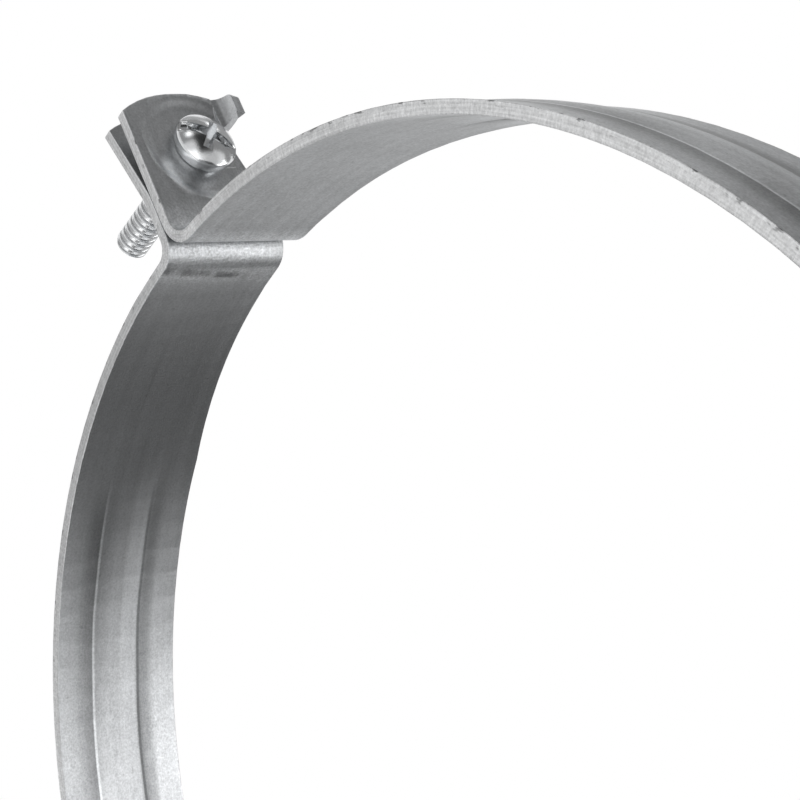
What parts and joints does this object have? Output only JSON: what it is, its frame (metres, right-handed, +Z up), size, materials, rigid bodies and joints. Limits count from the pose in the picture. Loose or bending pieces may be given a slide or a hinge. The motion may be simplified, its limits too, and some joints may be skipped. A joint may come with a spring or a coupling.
{
  "type": "pipe hanger",
  "caption": "Round two-half sheet steel pipe clamp with ribbed bands, folded screw ears, a quick-closing slotted ear and a welded connection nut for a hanger rod.",
  "frame": {"origin": "on the pipe axis, in the middle of the band's width, in the plane where the two halves meet", "axes": "+Y along the pipe, +Z up towards the connection nut, +X towards the quick-closing ear"},
  "size_m": [0.269, 0.025, 0.222],
  "materials": {
    "band_steel": "satin",
    "screw_steel": "polished",
    "nut_steel": "satin"
  },
  "bodies": {
    "root": {"base_half": "band_steel", "cover_half": "band_steel", "closure_screw_right": "screw_steel", "closure_screw_left": "screw_steel", "connection_nut": "nut_steel"}
  },
  "joints": []
}
